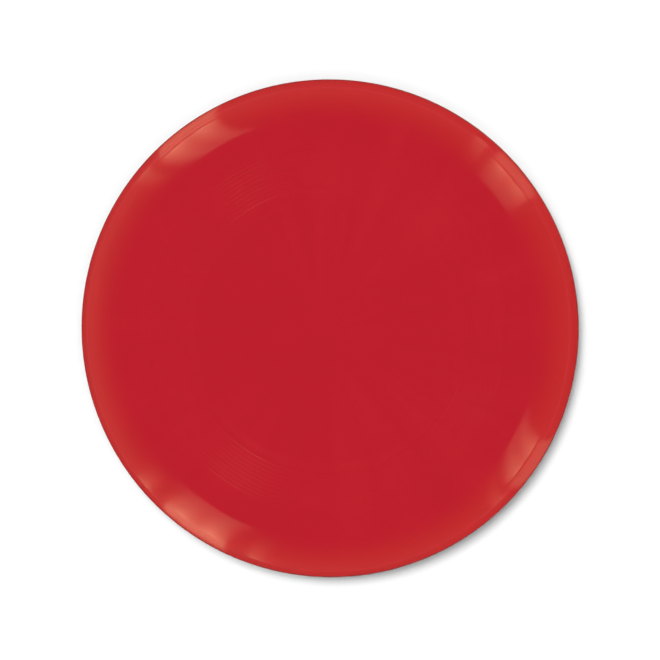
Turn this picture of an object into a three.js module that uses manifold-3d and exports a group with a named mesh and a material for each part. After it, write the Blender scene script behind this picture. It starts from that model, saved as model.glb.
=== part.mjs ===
// A flying disc, 235 mm across, lying on its rim. Millimetres, +Z up, with the disc's axis on Z
// and the lip of the rim on z = 0.
//
// It is two mouldings. The flight plate is the whole top of the disc, and its edge turns down as a
// thin tongue. The rim ring is moulded round that tongue: it holds it in a groove, and its pegs
// fill the windows in the tongue, so the two can't come apart.

import * as THREE from "three";
import { mergeVertices } from "three/addons/utils/BufferGeometryUtils.js";
import Module from "manifold-3d";

const wasm = await Module();
wasm.setup();

// Driving dimensions.
const discRadius = 117.5;
const discHeight = 28;
const plateWall = 1.5;
const flatRadius = 62.5; // the flat middle of the plate
const flatStep = 0.25; // how far the plate drops at the edge of the flat middle
const plateSlope = 2.5; // degrees, from the flat middle out to the shoulder
const shoulderWidth = 22; // the shoulder is a quarter of an ellipse, this wide
const shoulderDrop = 17; // and this high

const ridgeCount = 10; // the raised flight rings
const ridgePitch = 1.95;
const ridgeStart = 65.7;
const firstRidgeHeight = 0.3;
const ridgeHeight = 0.18;

const seamAngle = 37; // degrees round the shoulder's ellipse, from its widest point
const gap = 0.3; // between the two mouldings, all round the joint
const skinWall = 1.1; // the rim's outer skin
const tongueWall = 0.8;
const gripWall = 0.8; // the rim's inner wall, where the fingers hold it
const tongueEndZ = 3.6;

const skinDraft = 0.25; // how far the skin tapers in from its widest to the lip
const beadDepth = 1.2; // the lip's thicker bead, inside the grip wall
const beadTopZ = 2.6;
const beadFadeZ = 4.4;
const outerLipRadius = 1.3;
const innerLipRadius = 1.0;

const pegCount = 20;
const windowWidth = 5.0;
const windowHeight = 2.4;
const windowZ = 6.0;

const segments = 60; // facets round the disc
const shoulderSteps = 5;
const tongueSteps = 4;
const blendSteps = 4;
const lipSteps = 3;

const discRed = 0xbd202c;
const discRoughness = 0.15;
const discMetalness = 0;

// Worked-out dimensions.
const slope = THREE.MathUtils.degToRad(plateSlope);
const seam = THREE.MathUtils.degToRad(seamAngle);
const crown = Math.atan2(shoulderDrop, shoulderWidth * Math.tan(slope)); // where it meets the plate
const shoulderR = discRadius - shoulderWidth;
const shoulderZ =
  plateZ(shoulderR + shoulderWidth * Math.cos(crown)) - shoulderDrop * Math.sin(crown);

// The walls at the joint lie under one another, each at its depth below the outer surface.
const skinDepth = skinWall;
const tongueDepth = skinDepth + gap;
const tongueBackDepth = tongueDepth + tongueWall;
const gripDepth = tongueBackDepth + gap;
const gripBackDepth = gripDepth + gripWall;
const grooveFloorZ = tongueEndZ - gap;
const halfGapAngle = gap / 2 / (shoulderDrop - gripBackDepth);

// The height of the plate's top surface outside the flat middle, without its ridges.
function plateZ(r) {
  return discHeight - flatStep - (r - flatRadius) * Math.tan(slope);
}

// A point at some depth under the shoulder's surface, at an angle round its ellipse.
function shoulderPoint(depth, angle) {
  const surface = new THREE.Vector2(
    shoulderR + shoulderWidth * Math.cos(angle),
    shoulderZ + shoulderDrop * Math.sin(angle),
  );
  const outward = new THREE.Vector2(
    Math.cos(angle) / shoulderWidth,
    Math.sin(angle) / shoulderDrop,
  ).normalize();
  return surface.addScaledVector(outward, -depth);
}

// Points along the shoulder or one of its walls. The depth may change on the way.
function shoulderArc(depthAt, from, to, steps) {
  const points = [];
  for (let i = 0; i <= steps; i++) {
    const t = i / steps;
    points.push(shoulderPoint(depthAt(t), from + (to - from) * t));
  }
  return points;
}

// Points along a quarter circle with its own centre, for the corners of the lip.
function cornerArc(centreR, centreZ, radius, from, to) {
  const points = [];
  for (let i = 0; i <= lipSteps; i++) {
    const angle = from + ((to - from) * i) / lipSteps;
    points.push(
      new THREE.Vector2(
        centreR + radius * Math.cos(angle),
        centreZ + radius * Math.sin(angle),
      ),
    );
  }
  return points;
}

// The flight rings: crests on the sloping plate, with a valley before, between and after them.
function ridgePoints() {
  const points = [];
  for (let i = 0; i < ridgeCount; i++) {
    const valley = ridgeStart + i * ridgePitch;
    const crest = valley + ridgePitch / 2;
    const height = i === 0 ? firstRidgeHeight : ridgeHeight;
    points.push(new THREE.Vector2(valley, plateZ(valley)));
    points.push(new THREE.Vector2(crest, plateZ(crest) + height));
  }
  const end = ridgeStart + ridgeCount * ridgePitch;
  points.push(new THREE.Vector2(end, plateZ(end)));
  return points;
}

// The flight plate's section, from the axis out over the top, round the tongue and back under.
function plateProfile() {
  const tongueTop = seam + halfGapAngle;
  const thinning = (t) => THREE.MathUtils.smoothstep(t, 0, 1);
  const wallDepth = (t) => THREE.MathUtils.lerp(gripBackDepth, plateWall, thinning(t));
  return [
    new THREE.Vector2(0, discHeight),
    new THREE.Vector2(flatRadius, discHeight),
    new THREE.Vector2(flatRadius + flatStep, plateZ(flatRadius + flatStep)),
    ...ridgePoints(),
    ...shoulderArc(() => 0, crown, tongueTop, shoulderSteps),
    ...shoulderArc(() => tongueDepth, tongueTop, 0, tongueSteps),
    new THREE.Vector2(discRadius - tongueDepth, tongueEndZ),
    new THREE.Vector2(discRadius - tongueBackDepth, tongueEndZ),
    ...shoulderArc(() => tongueBackDepth, 0, tongueTop, tongueSteps),
    ...shoulderArc(wallDepth, tongueTop, crown, blendSteps),
    new THREE.Vector2(flatRadius, plateZ(flatRadius) - plateWall),
    new THREE.Vector2(0, plateZ(flatRadius) - plateWall),
  ];
}

// The rim ring's section, down the skin, round the lip, up the grip wall and round the groove.
function rimProfile() {
  const ringTop = seam - halfGapAngle;
  const gripR = discRadius - gripBackDepth;
  const beadR = gripR - beadDepth;
  const lipOuterR = discRadius - skinDraft;
  const closed = [
    ...shoulderArc(() => 0, ringTop, 0, tongueSteps),
    ...cornerArc(lipOuterR - outerLipRadius, outerLipRadius, outerLipRadius, 0, -Math.PI / 2),
    ...cornerArc(beadR + innerLipRadius, innerLipRadius, innerLipRadius, -Math.PI / 2, -Math.PI),
    new THREE.Vector2(beadR, beadTopZ),
    new THREE.Vector2(gripR, beadFadeZ),
    ...shoulderArc(() => gripBackDepth, 0, ringTop, tongueSteps),
    ...shoulderArc(() => gripDepth, ringTop, 0, tongueSteps),
    new THREE.Vector2(discRadius - gripDepth, grooveFloorZ),
    new THREE.Vector2(discRadius - skinDepth, grooveFloorZ),
    ...shoulderArc(() => skinDepth, 0, ringTop, tongueSteps),
  ];
  closed.push(closed[0].clone());
  return closed;
}

// A three.js geometry as a manifold solid. Triangles that close up on the axis are left out.
function solidOf(geometry) {
  geometry.deleteAttribute("normal");
  geometry.deleteAttribute("uv");
  const welded = mergeVertices(geometry);
  const index = welded.index.array;
  const triangles = [];
  for (let i = 0; i < index.length; i += 3) {
    const [a, b, c] = index.slice(i, i + 3);
    if (a !== b && b !== c && c !== a) {
      triangles.push(a, b, c);
    }
  }
  return new wasm.Manifold(
    new wasm.Mesh({
      numProp: 3,
      vertProperties: new Float32Array(welded.attributes.position.array),
      triVerts: new Uint32Array(triangles),
    }),
  );
}

// A section turned round the Z axis. The sections run clockwise, and a lathe's outward faces need
// them the other way round.
function turned(profile) {
  const geometry = new THREE.LatheGeometry(profile.reverse(), segments);
  geometry.rotateX(Math.PI / 2);
  return solidOf(geometry);
}

// One block for each peg, spaced evenly round the tongue and each in the middle of a facet.
function pegBlocks(innerR, outerR, width, height) {
  const blocks = [];
  for (let i = 0; i < pegCount; i++) {
    const block = new THREE.BoxGeometry(outerR - innerR, width, height);
    block.translate((innerR + outerR) / 2, 0, windowZ);
    block.rotateZ(Math.PI / segments + (i * 2 * Math.PI) / pegCount);
    blocks.push(solidOf(block));
  }
  return blocks;
}

function flightPlate() {
  const windows = pegBlocks(discRadius - gripBackDepth, discRadius, windowWidth, windowHeight);
  return windows.reduce((plate, window) => plate.subtract(window), turned(plateProfile()));
}

function rimRing() {
  const pegs = pegBlocks(
    discRadius - gripDepth - gripWall / 2,
    discRadius - skinDepth + skinWall / 2,
    windowWidth - 2 * gap,
    windowHeight - 2 * gap,
  );
  return pegs.reduce((ring, peg) => ring.add(peg), turned(rimProfile()));
}

// A named mesh of a solid, in the disc's glossy red plastic.
function plasticMesh(name, solid) {
  const mesh = solid.getMesh();
  const geometry = new THREE.BufferGeometry();
  geometry.setAttribute("position", new THREE.BufferAttribute(mesh.vertProperties, 3));
  geometry.setIndex(new THREE.BufferAttribute(mesh.triVerts, 1));
  geometry.computeVertexNormals();
  const material = new THREE.MeshStandardMaterial({
    color: discRed,
    roughness: discRoughness,
    metalness: discMetalness,
  });
  const part = new THREE.Mesh(geometry, material);
  part.name = name;
  return part;
}

const disc = new THREE.Group();
disc.name = "flying_disc";
disc.add(plasticMesh("flight_plate", flightPlate()));
disc.add(plasticMesh("rim_ring", rimRing()));

export default disc;
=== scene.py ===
import math

import bmesh
import bpy
from mathutils import Matrix, Vector

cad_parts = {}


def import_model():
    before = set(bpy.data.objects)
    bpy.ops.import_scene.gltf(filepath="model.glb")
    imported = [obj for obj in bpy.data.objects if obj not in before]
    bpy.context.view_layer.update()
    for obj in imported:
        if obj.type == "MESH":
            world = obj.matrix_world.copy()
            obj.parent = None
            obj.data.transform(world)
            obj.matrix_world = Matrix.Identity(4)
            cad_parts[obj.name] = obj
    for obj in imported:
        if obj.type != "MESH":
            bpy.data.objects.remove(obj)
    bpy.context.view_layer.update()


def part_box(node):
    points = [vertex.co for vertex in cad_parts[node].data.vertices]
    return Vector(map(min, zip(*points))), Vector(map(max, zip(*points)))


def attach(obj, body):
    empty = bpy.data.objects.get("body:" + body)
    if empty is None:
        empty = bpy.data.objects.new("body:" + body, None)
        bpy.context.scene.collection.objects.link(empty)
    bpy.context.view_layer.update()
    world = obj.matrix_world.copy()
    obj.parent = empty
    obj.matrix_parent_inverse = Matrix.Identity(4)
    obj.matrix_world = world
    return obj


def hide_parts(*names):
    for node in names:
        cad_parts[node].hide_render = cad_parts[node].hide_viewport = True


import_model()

# A glossy red flying disc lying on its rim, lit by four softboxes and seen from nearly overhead.
# Lengths are in metres. The disc's radius and height come from the frame. The dimensions below
# repeat the ones that the CAD's sections are drawn with. The softened ridges, edges and joint line
# and the marks of the mould are this script's own.

MM = 0.001
DISC_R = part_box("rim_ring")[1].x
DISC_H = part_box("flight_plate")[1].z

PLATE_WALL = 1.5 * MM
FLAT_R = 62.5 * MM
FLAT_STEP = 0.25 * MM
FLAT_EDGE = (-1.2 * MM, 2 * MM)  # where the soft step starts and ends, from the flat's radius
PLATE_SLOPE = math.radians(2.5)
SHOULDER_W = 22 * MM
SHOULDER_H = 17 * MM

RIDGES = 10
RIDGE_PITCH = 1.95 * MM
RIDGE_START = 65.7 * MM
FIRST_RIDGE_H = 0.055 * MM  # the ridges are lower and narrower than the CAD's
RIDGE_H = 0.036 * MM
RIDGE_WIDTH = 0.65 * MM
RIDGE_STEPS = 8

SEAM = math.radians(37)
GAP = 0.3 * MM
SEAM_LINE = 0.012 * MM  # how wide the joint shows: the two mouldings all but touch there
SEAM_BEAD_H = 0.06 * MM  # the fine raised line that the ring's edge makes along the joint
SEAM_BEAD_WIDTH = 1.3 * MM
SKIN_WALL = 1.1 * MM
TONGUE_WALL = 0.8 * MM
GRIP_WALL = 0.8 * MM
TONGUE_END_Z = 3.6 * MM

SKIN_DRAFT = 0.25 * MM
BEAD_DEPTH = 1.2 * MM
BEAD_TOP_Z = 2.6 * MM
BEAD_FADE_Z = 4.4 * MM
OUTER_LIP = 1.3 * MM  # how far the lip's roundings reach from its corners
INNER_LIP = 1.0 * MM
SOFT_ROUND = 0.25 * MM  # the other corners' roundings
EDGE_ROUND = 0.15 * MM
FINE_ROUND = 0.02 * MM
WIDE_ROUND = 0.8 * MM
ROUND_STEPS = 5

PEGS = 20
WINDOW_W = 5.0 * MM
WINDOW_H = 2.4 * MM
WINDOW_Z = 6.0 * MM
PEG_TURN = 1 / 6  # of their spacing, so that each is in the middle of one of the CAD's facets

EJECTOR_MARKS = ((8, 54 * MM, 3.5 * MM), (4, 24 * MM, 2.5 * MM))  # number, place and radius
EJECTOR_DEPTH = 0.12 * MM
EJECTOR_REACH = 1 * MM  # how far the pins that cut the marks stick out below the plate
EJECTOR_STEPS = 48
GATE_R = 6 * MM  # the round recess under the middle, where the plastic came in
GATE_DEPTH = 0.35 * MM
SPRUE_R = 1.6 * MM  # the cut-off stub in the recess
SPRUE_H = 0.7 * MM

TURN_STEPS = 384  # round the disc
SHARP_ANGLE = math.radians(40)  # edges sharper than this are shaded as edges
SAME_POINT = 1e-6  # points closer than this are one

RED = (0.429, 0.0112, 0.0211, 1)
PALER_RED = (0.445, 0.0125, 0.0225, 1)
SHOULDER_REFLECTION_RED = (0.443, 0.0168, 0.0186, 1)  # painted reflection: the shoulder is painted more orange than the flat top, for the warm room light that it mirrors
SHOULDER_REFLECTION_FROM = 0.75  # how far across the shoulder the painted reflection is full
# The lip's rubbed red, which the painted light along the joint uses as well.
RUBBED_AND_PAINTED_LIGHT_RED = (0.5, 0.03, 0.04, 1)
LIP_WEAR_Z = 2 * MM  # how far up the lip is rubbed dull
PAINTED_JOINT_LIGHT = 0.3  # painted light: how far the red beside the joint goes towards the paler red, for the bright line that the joint's edge catches
THIN_EDGE_IN = (-0.5 * MM, 0.1 * MM)  # where that starts and is full, from the joint's radius
THIN_EDGE_OUT = (0.4 * MM, 1.2 * MM)  # where it starts to fade and is gone
THIN_EDGE_DROP = (2 * MM, 1.5 * MM)  # how far under the joint it is gone and is full

PLASTIC_IOR = 1.5
SHEEN = (0.085, 0.125)  # the plain surface's roughness, where it is glossiest and where dullest
SCUFF_ROUGHNESS = 0.05  # this much is added at most by scuffs, by scratches and by the lip's wear
SCRATCH_ROUGHNESS = 0.07
WEAR_ROUGHNESS = 0.3
SCRATCH_DIRECTIONS = (35, -60)  # degrees
SCRATCH_SCALE = (35, 1100, 35)  # noise features per metre, along the scratches and across them
NOISE_RANGE = (0.3, 0.7)  # most of a noise texture's values
SCUFF_PEAKS = (0.6, 0.75)  # the values that make scuffs and scratches
SCRATCH_PEAKS = (0.7, 0.76)
RIPPLE_DEPTH = 0.006 * MM
GRAIN_DEPTH = 0.0006 * MM

FLOOR_REACH = 8
FLOOR_TONE = (0.935, 0.935, 0.935, 1)
ROOM_TONES = ((0, 0.02), (0.3, 0.06), (0.5, 0.22), (0.68, 0.2), (0.86, 0.08), (1, 0.02))
ROOM_TINT = (1.15, 1.0, 0.75)
ROOM_STRENGTH = (1.45, 0.55)  # on the left and on the right

PANEL_DISTANCE = 1.6
PANEL_COLOUR = (1.45, 0.93, 0.57, 1)
SOFTBOX_TOP = 66.5  # degrees above the horizon
SOFTBOX_LAMPS = ((0.26, 1), (0.74, 1.15))  # place across the cloth, from its right, and strength
LAMP_WIDTH = 0.14
IMAGE_FOOT = -50  # degrees
REFLECTOR_FOOT = -15
REFLECTOR_TOP = SOFTBOX_TOP - 5
REFLECTOR_WIDTH = 4

CAMERA_TILT = math.radians(5.2)  # from straight overhead
CAMERA_SIDE = math.radians(35)  # the azimuth that it is tilted towards
CAMERA_DISTANCE = 1.3
CAMERA_AIM = (0.66 * MM, -0.34 * MM)
CAMERA_SENSOR = 36
CAMERA_LENS = 150.33

TONGUE_DEPTH = SKIN_WALL + GAP
TONGUE_BACK = TONGUE_DEPTH + TONGUE_WALL
GRIP_DEPTH = TONGUE_BACK + GAP
GRIP_BACK = GRIP_DEPTH + GRIP_WALL
HALF_GAP_ANGLE = GAP / 2 / (SHOULDER_H - GRIP_BACK)
HALF_LINE_ANGLE = SEAM_LINE / 2 / SHOULDER_H
SEAM_RUN = math.hypot(SHOULDER_W * math.sin(SEAM), SHOULDER_H * math.cos(SEAM))  # for each radian
SEAM_BEAD_ANGLE = SEAM_BEAD_WIDTH / SEAM_RUN


def plate_z(r):
    """The height of the plate's top outside the flat middle, without its ridges."""
    return DISC_H - FLAT_STEP - (r - FLAT_R) * math.tan(PLATE_SLOPE)


SHOULDER_R = DISC_R - SHOULDER_W
CROWN = math.atan2(SHOULDER_H, SHOULDER_W * math.tan(PLATE_SLOPE))
CROWN_R = SHOULDER_R + SHOULDER_W * math.cos(CROWN)
SHOULDER_Z = plate_z(CROWN_R) - SHOULDER_H * math.sin(CROWN)
UNDER_Z = plate_z(FLAT_R) - PLATE_WALL


# Sections. A section is a chain of strokes, each a list of (radius, height) points, and the
# corners between strokes are rounded.


def shoulder_point(depth, angle):
    """A point at some depth under the shoulder's ellipse."""
    out = Vector((math.cos(angle) / SHOULDER_W, math.sin(angle) / SHOULDER_H)).normalized()
    surface = Vector(
        (
            SHOULDER_R + SHOULDER_W * math.cos(angle),
            SHOULDER_Z + SHOULDER_H * math.sin(angle),
        )
    )
    return surface - out * depth


def shoulder_arc(depth_at, start, end, steps):
    return [
        shoulder_point(depth_at(i / steps), start + (end - start) * i / steps)
        for i in range(steps + 1)
    ]


def smooth(t):
    return t * t * (3 - 2 * t)


def line(start, end, steps=1):
    start, end = Vector(start), Vector(end)
    return [start.lerp(end, i / steps) for i in range(steps + 1)]


def ridge_band():
    """The plate's sloping top: fine rounded ridges with flat floors between them."""
    points = []
    for i in range(RIDGES):
        middle = RIDGE_START + (i + 0.5) * RIDGE_PITCH
        height = FIRST_RIDGE_H if i == 0 else RIDGE_H
        for k in range(RIDGE_STEPS + 1):
            t = k / RIDGE_STEPS
            r = middle + (t - 0.5) * RIDGE_WIDTH
            lift = height * (1 - math.cos(2 * math.pi * t)) / 2
            points.append(Vector((r, plate_z(r) + lift)))
    return points


def cut_back(stroke, length):
    """The stroke with this length taken off its end."""
    points = list(stroke)
    while len(points) > 1:
        step = (points[-1] - points[-2]).length
        if step > length:
            points[-1] = points[-1].lerp(points[-2], length / step)
            break
        length -= step
        points.pop()
    return points


def chain(strokes, roundings):
    """Joins strokes end to end. Each rounding is how far it reaches from that corner, and one more
    rounding than there are corners inside the chain closes it up."""
    closed = len(roundings) == len(strokes)
    points = []
    trimmed = []
    for i, stroke in enumerate(strokes):
        after = roundings[i] if i < len(roundings) else 0
        before = roundings[i - 1] if i > 0 or closed else 0
        shorter = cut_back(stroke, after) if after else list(stroke)
        if before:
            shorter = cut_back(shorter[::-1], before)[::-1]
        trimmed.append(shorter)
    for i, stroke in enumerate(trimmed):
        points += stroke
        if i < len(roundings) and roundings[i]:
            corner = strokes[i][-1]
            start, end = stroke[-1], trimmed[(i + 1) % len(trimmed)][0]
            for k in range(1, ROUND_STEPS):
                t = k / ROUND_STEPS
                points.append(start.lerp(corner, t).lerp(corner.lerp(end, t), t))
    kept = [points[0]]
    for point in points[1:]:
        if (point - kept[-1]).length > SAME_POINT:
            kept.append(point)
    if closed and (kept[-1] - kept[0]).length < SAME_POINT:
        kept.pop()
    return kept, closed


def plate_section():
    """From the axis out over the top, round the tongue and back under to the gate."""
    tongue_top = SEAM + HALF_GAP_ANGLE
    edge_angle = SEAM + HALF_LINE_ANGLE
    gate_z = UNDER_Z + GATE_DEPTH
    sprue_z = gate_z - SPRUE_H

    def wall_depth(t):
        return GRIP_BACK + (PLATE_WALL - GRIP_BACK) * smooth(t)

    band = ridge_band()
    step_start, step_end = (FLAT_R + reach for reach in FLAT_EDGE)
    crown = shoulder_point(0, CROWN)
    tongue_r = DISC_R - TONGUE_DEPTH
    tongue_back_r = DISC_R - TONGUE_BACK
    under_crown = shoulder_point(PLATE_WALL, CROWN)
    strokes = [
        line((0, DISC_H), (step_start, DISC_H), steps=2),
        line((step_start, DISC_H), (step_end, plate_z(step_end)), steps=4),
        line((step_end, plate_z(step_end)), band[0]) + band[1:]
        + line(band[-1], crown, steps=2)[1:]
        + shoulder_arc(lambda t: 0, CROWN, edge_angle, steps=36)[1:],
        line(shoulder_point(0, edge_angle), shoulder_point(TONGUE_DEPTH, tongue_top), steps=2),
        shoulder_arc(lambda t: TONGUE_DEPTH, tongue_top, 0, steps=8)
        + line((tongue_r, SHOULDER_Z), (tongue_r, TONGUE_END_Z))[1:],
        line((tongue_r, TONGUE_END_Z), (tongue_back_r, TONGUE_END_Z)),
        line((tongue_back_r, TONGUE_END_Z), (tongue_back_r, SHOULDER_Z))
        + shoulder_arc(lambda t: TONGUE_BACK, 0, tongue_top, steps=8)[1:],
        line(shoulder_point(TONGUE_BACK, tongue_top), shoulder_point(GRIP_BACK, edge_angle), steps=2),
        shoulder_arc(wall_depth, edge_angle, CROWN, steps=20)
        + line(under_crown, (FLAT_R, UNDER_Z), steps=3)[1:]
        + line((FLAT_R, UNDER_Z), (GATE_R + GATE_DEPTH, UNDER_Z), steps=2)[1:],
        line((GATE_R + GATE_DEPTH, UNDER_Z), (GATE_R, gate_z)),
        line((GATE_R, gate_z), (SPRUE_R, gate_z)),
        line((SPRUE_R, gate_z), (SPRUE_R, sprue_z)),
        line((SPRUE_R, sprue_z), (0, sprue_z)),
    ]
    top_roundings = [WIDE_ROUND, WIDE_ROUND, FINE_ROUND]
    tongue_roundings = [EDGE_ROUND, SOFT_ROUND, SOFT_ROUND, EDGE_ROUND]
    under_roundings = [FINE_ROUND, SOFT_ROUND, SOFT_ROUND, EDGE_ROUND, EDGE_ROUND]
    return chain(strokes, top_roundings + tongue_roundings + under_roundings)


def rim_section():
    """Down the skin, round the lip, up the grip wall and round the groove, closed."""
    ring_top = SEAM - HALF_GAP_ANGLE
    edge_angle = SEAM - HALF_LINE_ANGLE
    bead_end = edge_angle - SEAM_BEAD_ANGLE
    grip_r = DISC_R - GRIP_BACK
    bead_r = grip_r - BEAD_DEPTH
    lip_r = DISC_R - SKIN_DRAFT
    groove_z = TONGUE_END_Z - GAP

    def bead_depth(t):
        return -SEAM_BEAD_H * math.sin(math.pi * t) ** 2

    strokes = [
        shoulder_arc(bead_depth, edge_angle, bead_end, steps=14)
        + shoulder_arc(lambda t: 0, bead_end, 0, steps=30)[1:]
        + line((DISC_R, SHOULDER_Z), (lip_r, 0), steps=8)[1:],
        line((lip_r, 0), (bead_r, 0), steps=6),
        line((bead_r, 0), (bead_r, BEAD_TOP_Z), steps=4),
        line((bead_r, BEAD_TOP_Z), (grip_r, BEAD_FADE_Z), steps=4),
        line((grip_r, BEAD_FADE_Z), (grip_r, SHOULDER_Z), steps=6)
        + shoulder_arc(lambda t: GRIP_BACK, 0, edge_angle, steps=16)[1:],
        line(shoulder_point(GRIP_BACK, edge_angle), shoulder_point(GRIP_DEPTH, ring_top), steps=2),
        shoulder_arc(lambda t: GRIP_DEPTH, ring_top, 0, steps=12)
        + line((DISC_R - GRIP_DEPTH, SHOULDER_Z), (DISC_R - GRIP_DEPTH, groove_z), steps=4)[1:],
        line((DISC_R - GRIP_DEPTH, groove_z), (DISC_R - SKIN_WALL, groove_z)),
        line((DISC_R - SKIN_WALL, groove_z), (DISC_R - SKIN_WALL, SHOULDER_Z), steps=4)
        + shoulder_arc(lambda t: SKIN_WALL, 0, ring_top, steps=12)[1:],
        line(shoulder_point(SKIN_WALL, ring_top), shoulder_point(0, edge_angle), steps=2),
    ]
    lip_roundings = [OUTER_LIP, INNER_LIP, WIDE_ROUND, WIDE_ROUND]
    groove_roundings = [FINE_ROUND, EDGE_ROUND, EDGE_ROUND, EDGE_ROUND, EDGE_ROUND, FINE_ROUND]
    return chain(strokes, lip_roundings + groove_roundings)


# Meshes.


def linked(name, mesh):
    """A finished bmesh as an object in the scene."""
    data = bpy.data.meshes.new(name)
    mesh.to_mesh(data)
    mesh.free()
    made = bpy.data.objects.new(name, data)
    bpy.context.scene.collection.objects.link(made)
    return made


def circle(mesh, middle, radius, z, steps):
    """New vertices round a level circle."""
    vertices = []
    for k in range(steps):
        angle = 2 * math.pi * k / steps
        x = middle[0] + radius * math.cos(angle)
        y = middle[1] + radius * math.sin(angle)
        vertices.append(mesh.verts.new((x, y, z)))
    return vertices


def turned(name, section):
    """A section turned round the Z axis into a closed mesh. Points on the axis are one vertex
    each."""
    points, closed = section
    mesh = bmesh.new()
    rings = []
    for point in points:
        if point.x < SAME_POINT:
            rings.append([mesh.verts.new((0, 0, point.y))] * TURN_STEPS)
        else:
            rings.append(circle(mesh, (0, 0), point.x, point.y, TURN_STEPS))
    pairs = list(zip(rings, rings[1:]))
    if closed:
        pairs.append((rings[-1], rings[0]))
    for upper, lower in pairs:
        for k in range(TURN_STEPS):
            n = (k + 1) % TURN_STEPS
            corners = []
            for vert in (upper[k], lower[k], lower[n], upper[n]):
                if vert not in corners:
                    corners.append(vert)
            mesh.faces.new(corners)
    bmesh.ops.recalc_face_normals(mesh, faces=mesh.faces)
    return linked(name, mesh)


# The sides of a block whose corners are listed inner before outer, right before left, low before
# high.
BLOCK_FACES = ((0, 1, 3, 2), (4, 6, 7, 5), (0, 4, 5, 1), (2, 3, 7, 6), (0, 2, 6, 4), (1, 5, 7, 3))


def peg_blocks(name, inner_r, outer_r, width, height):
    """The blocks that cut the tongue's windows or make the rim's pegs, as one mesh."""
    mesh = bmesh.new()
    for i in range(PEGS):
        angle = 2 * math.pi * (i + PEG_TURN) / PEGS
        out = Vector((math.cos(angle), math.sin(angle), 0))
        side = Vector((-out.y, out.x, 0))
        corners = [
            mesh.verts.new(out * r + side * (s * width / 2) + Vector((0, 0, z)))
            for r in (inner_r, outer_r)
            for s in (-1, 1)
            for z in (WINDOW_Z - height / 2, WINDOW_Z + height / 2)
        ]
        for face in BLOCK_FACES:
            mesh.faces.new([corners[c] for c in face])
    bmesh.ops.recalc_face_normals(mesh, faces=mesh.faces)
    return linked(name, mesh)


def ejector_pins(name):
    """The round pins that leave shallow marks in the plate's underside."""
    mesh = bmesh.new()
    for count, place, radius in EJECTOR_MARKS:
        for i in range(count):
            angle = 2 * math.pi * (i + 0.5) / count
            middle = (place * math.cos(angle), place * math.sin(angle))
            low = circle(mesh, middle, radius, UNDER_Z - EJECTOR_REACH, EJECTOR_STEPS)
            high = circle(mesh, middle, radius, UNDER_Z + EJECTOR_DEPTH, EJECTOR_STEPS)
            mesh.faces.new(low[::-1])
            mesh.faces.new(high)
            for k in range(EJECTOR_STEPS):
                n = (k + 1) % EJECTOR_STEPS
                mesh.faces.new((low[k], low[n], high[n], high[k]))
    return linked(name, mesh)


def combine(piece, other, operation):
    """Cuts the other mesh from the piece or joins it on, and removes the other."""
    modifier = piece.modifiers.new("combine", "BOOLEAN")
    modifier.operation = operation
    modifier.solver = "MANIFOLD"
    modifier.object = other
    evaluated = piece.evaluated_get(bpy.context.evaluated_depsgraph_get())
    result = bpy.data.meshes.new_from_object(evaluated)
    old = piece.data
    piece.modifiers.clear()
    piece.data = result
    result.name = old.name
    bpy.data.meshes.remove(old)
    bpy.data.objects.remove(other)


def shade_smooth(piece):
    piece.data.shade_smooth()
    piece.data.set_sharp_from_angle(angle=SHARP_ANGLE)


def flight_plate():
    plate = turned("disc_flight_plate", plate_section())
    windows = peg_blocks("windows", DISC_R - GRIP_BACK, DISC_R, WINDOW_W, WINDOW_H)
    combine(plate, windows, "DIFFERENCE")
    combine(plate, ejector_pins("ejector_pins"), "DIFFERENCE")
    shade_smooth(plate)
    return plate


def rim_ring():
    rim = turned("disc_rim_ring", rim_section())
    pegs = peg_blocks(
        "pegs",
        DISC_R - GRIP_DEPTH - GRIP_WALL / 2,
        DISC_R - SKIN_WALL / 2,
        WINDOW_W - 2 * GAP,
        WINDOW_H - 2 * GAP,
    )
    combine(rim, pegs, "UNION")
    shade_smooth(rim)
    return rim


# Materials.


def link(tree, start, end):
    """Links (node, output) to (node, input)."""
    tree.links.new(start[0].outputs[start[1]], end[0].inputs[end[1]])


def noise(tree, vector, scale, detail):
    """A noise texture over (node, output), with its scale in features per metre."""
    made = tree.nodes.new("ShaderNodeTexNoise")
    made.inputs["Scale"].default_value = scale
    made.inputs["Detail"].default_value = detail
    link(tree, vector, (made, "Vector"))
    return made, "Fac"


def spread(tree, value, low, high, to_low, to_high):
    """Maps (node, output) from one range onto another, clamped, with smooth ends."""
    made = tree.nodes.new("ShaderNodeMapRange")
    made.interpolation_type = "SMOOTHSTEP"
    for socket, number in (
        ("From Min", low),
        ("From Max", high),
        ("To Min", to_low),
        ("To Max", to_high),
    ):
        made.inputs[socket].default_value = number
    link(tree, value, (made, "Value"))
    return made, "Result"


def mottled(tree, place, scale, detail, low, high):
    """Smooth noise over (node, output) that runs between two values."""
    return spread(tree, noise(tree, place, scale, detail), *NOISE_RANGE, low, high)


def combined(tree, operation, first, second):
    """One number from two (node, output) pairs."""
    made = tree.nodes.new("ShaderNodeMath")
    made.operation = operation
    link(tree, first, (made, 0))
    link(tree, second, (made, 1))
    return made, "Value"


def mixed_colour(tree, factor, first, second):
    """A colour between two, each either a plain colour or a (node, output) pair."""
    made = tree.nodes.new("ShaderNodeMix")
    made.data_type = "RGBA"
    link(tree, factor, (made, "Factor"))
    for socket, colour in ((made.inputs[6], first), (made.inputs[7], second)):
        if len(colour) == 2:
            tree.links.new(colour[0].outputs[colour[1]], socket)
        else:
            socket.default_value = colour
    return made, 2


def bumped(tree, height, depth, under=None):
    """A bump of some depth in metres, on top of another bump."""
    made = tree.nodes.new("ShaderNodeBump")
    made.inputs["Distance"].default_value = depth
    link(tree, height, (made, "Height"))
    if under:
        link(tree, under, (made, "Normal"))
    return made, "Normal"


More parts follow.
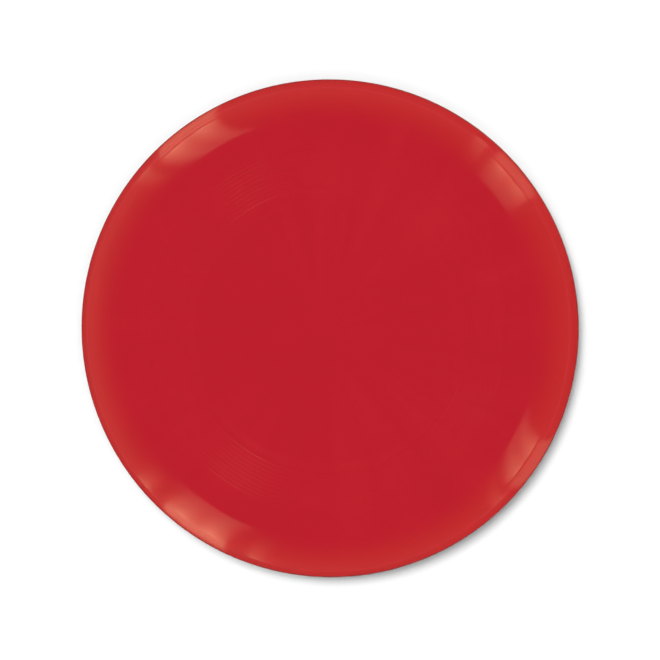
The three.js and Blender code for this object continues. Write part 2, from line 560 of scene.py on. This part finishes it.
def vector_maths(tree, operation, first, second=None):
    """A vector node over (node, output) pairs. The second may be a plain vector."""
    made = tree.nodes.new("ShaderNodeVectorMath")
    made.operation = operation
    link(tree, first, (made, 0))
    if second and len(second) == 2:
        link(tree, second, (made, 1))
    elif second:
        made.inputs[1].default_value = second
    return made


def level_place(tree, place):
    return vector_maths(tree, "MULTIPLY", place, (1, 1, 0)), "Vector"


def distance_from_axis(tree, place):
    return vector_maths(tree, "LENGTH", level_place(tree, place)), "Value"


def flow_coordinates(tree, place):
    """Coordinates that change quickly round the disc and slowly outwards, as plastic flows from a
    gate in the middle of the mould."""
    level = level_place(tree, place)
    direction = vector_maths(tree, "NORMALIZE", level), "Vector"
    return vector_maths(tree, "ADD", direction, level), "Vector"


def scratched(tree, place, angle):
    """Fine straight scratches that all run one way, in degrees: 1 on a scratch and 0 off it."""
    stretched = tree.nodes.new("ShaderNodeMapping")
    stretched.inputs["Rotation"].default_value = (0, 0, math.radians(angle))
    stretched.inputs["Scale"].default_value = SCRATCH_SCALE
    link(tree, place, (stretched, "Vector"))
    lines = noise(tree, (stretched, "Vector"), scale=1, detail=0)
    return spread(tree, lines, *SCRATCH_PEAKS, 0, 1)


def red_plastic(name):
    """Glossy moulded red plastic: faint flow marks and cloudiness in its colour, a slightly uneven
    gloss with fine scuffs and scratches, the soft ripple of a moulded surface and a rubbed lip.
    Painted light as well: the shoulder is painted more orange as a painted reflection of the warm
    room, and a paler line along the joint is painted light."""
    material = bpy.data.materials.new(name)
    material.use_nodes = True
    tree = material.node_tree
    shader = tree.nodes["Principled BSDF"]
    shader.inputs["IOR"].default_value = PLASTIC_IOR
    coordinates = tree.nodes.new("ShaderNodeTexCoord")
    place = (coordinates, "Object")
    split = tree.nodes.new("ShaderNodeSeparateXYZ")
    link(tree, place, (split, "Vector"))

    radius = distance_from_axis(tree, place)
    clouds = mottled(tree, place, scale=22, detail=2, low=0, high=1)
    flow = mottled(tree, flow_coordinates(tree, place), scale=7, detail=4, low=0, high=1)
    top = mixed_colour(tree, combined(tree, "MULTIPLY", clouds, flow), RED, PALER_RED)
    # Painted reflection: outwards over the shoulder the red turns more orange, for the warm room
    # light that the slope mirrors.
    orange_r = SHOULDER_R + SHOULDER_REFLECTION_FROM * SHOULDER_W
    shoulder = spread(tree, radius, CROWN_R, orange_r, 0, 1)
    plain = mixed_colour(tree, shoulder, top, SHOULDER_REFLECTION_RED)

    rubbed = combined(
        tree,
        "MULTIPLY",
        spread(tree, (split, "Z"), 0, LIP_WEAR_Z, 1, 0),
        mottled(tree, place, scale=160, detail=3, low=0.4, high=1),
    )
    seam_r, seam_z = shoulder_point(0, SEAM)
    # Painted light: a paler band just outside the joint, for the bright line that the ring's edge
    # catches there.
    pale_from, pale_full = (seam_r + reach for reach in THIN_EDGE_IN)
    fade_from, fade_end = (seam_r + reach for reach in THIN_EDGE_OUT)
    painted_joint_light = combined(
        tree,
        "MULTIPLY",
        spread(tree, radius, pale_from, pale_full, 0, PAINTED_JOINT_LIGHT),
        spread(tree, radius, fade_from, fade_end, 1, 0),
    )
    gone_z, full_z = (seam_z - drop for drop in THIN_EDGE_DROP)
    outside = spread(tree, (split, "Z"), gone_z, full_z, 0, 1)
    # pale holds both the lip's real wear and the painted light along the joint.
    pale = combined(tree, "MAXIMUM", rubbed, combined(tree, "MULTIPLY", painted_joint_light, outside))
    colour = mixed_colour(tree, pale, plain, RUBBED_AND_PAINTED_LIGHT_RED)
    link(tree, colour, (shader, "Base Color"))

    sheen = mottled(tree, place, 60, 5, *SHEEN)
    specks = noise(tree, place, scale=900, detail=8)
    scuffs = spread(tree, specks, *SCUFF_PEAKS, 0, SCUFF_ROUGHNESS)
    one_way, other_way = (scratched(tree, place, angle) for angle in SCRATCH_DIRECTIONS)
    scratches = combined(tree, "MAXIMUM", one_way, other_way)
    marks = combined(tree, "ADD", scuffs, spread(tree, scratches, 0, 1, 0, SCRATCH_ROUGHNESS))
    wear = spread(tree, rubbed, 0, 1, 0, WEAR_ROUGHNESS)
    roughness = combined(tree, "ADD", sheen, combined(tree, "ADD", marks, wear))
    link(tree, roughness, (shader, "Roughness"))

    ripple = bumped(tree, noise(tree, place, scale=240, detail=1), RIPPLE_DEPTH)
    grain = bumped(tree, noise(tree, place, scale=2600, detail=2), GRAIN_DEPTH, ripple)
    link(tree, grain, (shader, "Normal"))
    return material


# The stage: floor, lights and camera.


def staged(name, vertices, faces):
    data = bpy.data.meshes.new(name)
    data.from_pydata(vertices, [], faces)
    made = bpy.data.objects.new(name, data)
    bpy.context.scene.collection.objects.link(made)
    return made


def floor():
    """A wide pale floor, which the disc's gloss doesn't mirror."""
    edge = FLOOR_REACH
    corners = [(-edge, -edge, 0), (edge, -edge, 0), (edge, edge, 0), (-edge, edge, 0)]
    ground = staged("floor", corners, [(0, 1, 2, 3)])
    ground.visible_glossy = False
    material = bpy.data.materials.new("pale_floor")
    material.use_nodes = True
    shader = material.node_tree.nodes["Principled BSDF"]
    shader.inputs["Base Color"].default_value = FLOOR_TONE
    shader.inputs["Roughness"].default_value = 0.9
    shader.inputs["Specular IOR Level"].default_value = 0
    ground.data.materials.append(material)
    return ground


def shining(name):
    """A light panel's material: it shines as strongly as the mesh's glow attribute says."""
    material = bpy.data.materials.new(name)
    material.use_nodes = True
    tree = material.node_tree
    tree.nodes.clear()
    glow = tree.nodes.new("ShaderNodeAttribute")
    glow.attribute_name = "glow"
    emission = tree.nodes.new("ShaderNodeEmission")
    emission.inputs["Color"].default_value = PANEL_COLOUR
    output = tree.nodes.new("ShaderNodeOutputMaterial")
    tree.links.new(glow.outputs["Fac"], emission.inputs["Strength"])
    tree.links.new(emission.outputs["Emission"], output.inputs["Surface"])
    material.cycles.emission_sampling = "NONE"
    return material


def light_panel(name, azimuths, elevations, glow):
    """A curved panel between two azimuths and two elevations, in degrees, as the disc's middle sees
    them. glow(u, v) is its strength, with u across it and v up it. Only the gloss shows it."""
    columns, rows = 16, 24
    low, high = elevations
    vertices, strengths = [], []
    for i in range(columns + 1):
        u = i / columns
        azimuth = math.radians(azimuths[0] + (azimuths[1] - azimuths[0]) * u)
        for j in range(rows + 1):
            v = j / rows
            elevation = math.radians(low + (high - low) * v)
            level = PANEL_DISTANCE * math.cos(elevation)
            vertices.append(
                (
                    level * math.cos(azimuth),
                    level * math.sin(azimuth),
                    SHOULDER_Z + PANEL_DISTANCE * math.sin(elevation),
                )
            )
            strengths.append(glow(u, v))
    step = rows + 1
    faces = [
        (i * step + j, i * step + j + 1, (i + 1) * step + j + 1, (i + 1) * step + j)
        for i in range(columns)
        for j in range(rows)
    ]
    panel = staged(name, vertices, faces)
    attribute = panel.data.attributes.new("glow", "FLOAT", "POINT")
    attribute.data.foreach_set("value", strengths)
    panel.data.materials.append(shining(name))
    panel.visible_camera = False
    panel.visible_diffuse = False
    panel.visible_shadow = False


def bump(t, middle, width):
    """A smooth bump of height 1."""
    return math.exp(-(((t - middle) / width) ** 2))


def softbox(name, azimuth, width, power, foot, image_gap, image_power, image_fade, reflectors):
    """A tall softbox with two lamps side by side behind its cloth, its dimmer image in the table
    below a dark gap, and thin reflectors beside it. Places and widths are in degrees. A reflector
    is the side that it stands on (1 is anticlockwise), its distance and its strength."""
    sides = azimuth - width / 2, azimuth + width / 2

    # The cloth is brightest at its foot and over the two lamps, and dimmest at its top.
    def cloth(u, v):
        lamps = sum(strength * bump(u, place, LAMP_WIDTH) for place, strength in SOFTBOX_LAMPS)
        return power * (0.3 + 0.7 * (1 - v) ** 1.2) * (0.64 + 0.55 * lamps)

    # The image fades with distance below the cloth.
    def image(u, v):
        return power * image_power * max(0.05, 1 - image_fade * (1 - v))

    light_panel(name, sides, (foot, SOFTBOX_TOP), cloth)
    light_panel(name + "_image", sides, (IMAGE_FOOT, foot - image_gap), image)
    for side, distance, strength in reflectors:
        near = azimuth + side * (width / 2 + distance)

        # A reflector fades upwards and away from the softbox.
        def strip(u, v):
            return strength * power * 0.6 * (1 - v) ** 0.7 * (1 - 0.6 * u)

        light_panel(
            "%s_reflector_%s" % (name, "left" if side > 0 else "right"),
            (near, near + side * REFLECTOR_WIDTH),
            (REFLECTOR_FOOT, REFLECTOR_TOP),
            strip,
        )


def far_light(name, azimuth, elevation, angle, energy, lit):
    """A distant light on the objects in lit, which their gloss doesn't mirror. Angles are in
    degrees, and angle is how wide the light looks."""
    light = bpy.data.lights.new(name, "SUN")
    light.energy = energy
    light.angle = math.radians(angle)
    light.cycles.use_multiple_importance_sampling = False
    lamp = bpy.data.objects.new(name, light)
    around, up = math.radians(azimuth), math.radians(elevation)
    toward = Vector((math.cos(up) * math.cos(around), math.cos(up) * math.sin(around), math.sin(up)))
    lamp.rotation_euler = toward.to_track_quat("Z", "Y").to_euler()
    lamp.visible_glossy = False
    bpy.context.scene.collection.objects.link(lamp)
    receivers = bpy.data.collections.new(name + "_lights")
    for piece in lit:
        receivers.objects.link(piece)
    lamp.light_linking.receiver_collection = receivers


def soft_lights(pieces, ground):
    """A soft dome, low light on the disc from all sides, which keeps its rim as bright as its top,
    and a steep key from the upper left that throws the disc's shadow to the lower right."""
    far_light("dome", azimuth=0, elevation=90, angle=150, energy=1.9, lit=[*pieces, ground])
    far_light("key", azimuth=117, elevation=70.5, angle=23, energy=2.1, lit=[ground])
    for azimuth in range(0, 360, 90):
        name = "side_%d" % azimuth
        far_light(name, azimuth=azimuth, elevation=12, angle=60, energy=1.95, lit=pieces)


def world():
    """A dim room that only the gloss mirrors: darkest overhead and below, lighter at the horizon,
    and lightest on the left. The camera sees white instead."""
    made = bpy.data.worlds.new("studio")
    bpy.context.scene.world = made
    made.cycles_visibility.diffuse = False
    made.use_nodes = True
    tree = made.node_tree
    room = tree.nodes["Background"]
    coordinates = tree.nodes.new("ShaderNodeTexCoord")
    split = tree.nodes.new("ShaderNodeSeparateXYZ")
    height = tree.nodes.new("ShaderNodeMapRange")
    height.inputs["From Min"].default_value = -1
    ramp = tree.nodes.new("ShaderNodeValToRGB")
    ramp.color_ramp.interpolation = "B_SPLINE"
    for position, tone in ROOM_TONES[1:-1]:
        ramp.color_ramp.elements.new(position)
    for element, (position, tone) in zip(ramp.color_ramp.elements, ROOM_TONES):
        element.position = position
        element.color = (*(tone * channel for channel in ROOM_TINT), 1)
    side = tree.nodes.new("ShaderNodeMapRange")
    side.inputs["From Min"].default_value = -1
    side.inputs["To Min"].default_value, side.inputs["To Max"].default_value = ROOM_STRENGTH
    pale = tree.nodes.new("ShaderNodeBackground")
    pale.inputs["Color"].default_value = (1, 1, 1, 1)
    rays = tree.nodes.new("ShaderNodeLightPath")
    mix = tree.nodes.new("ShaderNodeMixShader")
    link(tree, (coordinates, "Generated"), (split, "Vector"))
    link(tree, (split, "Z"), (height, "Value"))
    link(tree, (height, "Result"), (ramp, "Fac"))
    link(tree, (ramp, "Color"), (room, "Color"))
    link(tree, (split, "X"), (side, "Value"))
    link(tree, (side, "Result"), (room, "Strength"))
    link(tree, (rays, "Is Camera Ray"), (mix, "Fac"))
    link(tree, (room, "Background"), (mix, 1))
    link(tree, (pale, "Background"), (mix, 2))
    link(tree, (mix, "Shader"), (tree.nodes["World Output"], "Surface"))


def camera():
    """Nearly overhead, tilted a little towards the upper right."""
    back = Vector(
        (
            math.sin(CAMERA_TILT) * math.cos(CAMERA_SIDE),
            math.sin(CAMERA_TILT) * math.sin(CAMERA_SIDE),
            math.cos(CAMERA_TILT),
        )
    )
    right = Vector((0, 1, 0)).cross(back).normalized()
    look_at = Vector((*CAMERA_AIM, SHOULDER_Z))
    made = bpy.data.cameras.new("camera")
    made.sensor_width = CAMERA_SENSOR
    made.lens = CAMERA_LENS
    cam = bpy.data.objects.new("camera", made)
    turn = Matrix((right, back.cross(right), back)).transposed().to_4x4()
    cam.matrix_world = Matrix.Translation(look_at + back * CAMERA_DISTANCE) @ turn
    bpy.context.scene.collection.objects.link(cam)
    bpy.context.scene.camera = cam


bpy.context.scene.view_settings.view_transform = "Standard"
camera()
world()
ground = floor()

plate = flight_plate()
rim = rim_ring()
for piece, cad_node, material_slot in (
    (plate, "flight_plate", "plate_plastic"),
    (rim, "rim_ring", "rim_plastic"),
):
    piece.data.materials.clear()
    piece.data.materials.append(red_plastic(material_slot))
    piece.visible_diffuse = False  # the disc throws no red on the floor
    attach(piece, "root")
    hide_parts(cad_node)

soft_lights([plate, rim], ground)
softbox(
    "softbox_upper_right",
    azimuth=40.1,
    width=13.9,
    power=2.4,
    foot=10.5,
    image_gap=4,
    image_power=0.6,
    image_fade=0.95,
    reflectors=[(1, 3.3, 1)],
)
softbox(
    "softbox_upper_left",
    azimuth=130.7,
    width=16.4,
    power=3.05,
    foot=7.5,
    image_gap=4,
    image_power=0.63,
    image_fade=0.92,
    reflectors=[(1, 3.8, 1)],
)
softbox(
    "softbox_lower_left",
    azimuth=234.2,
    width=15.9,
    power=3.25,
    foot=3,
    image_gap=0,
    image_power=0.8,
    image_fade=1.2,
    reflectors=[(-1, 5, 1), (1, 5.8, 0.8)],
)
softbox(
    "softbox_lower_right",
    azimuth=322.1,
    width=13.5,
    power=2.4,
    foot=12.5,
    image_gap=5,
    image_power=0.48,
    image_fade=0.8,
    reflectors=[(-1, 3.3, 0.8)],
)
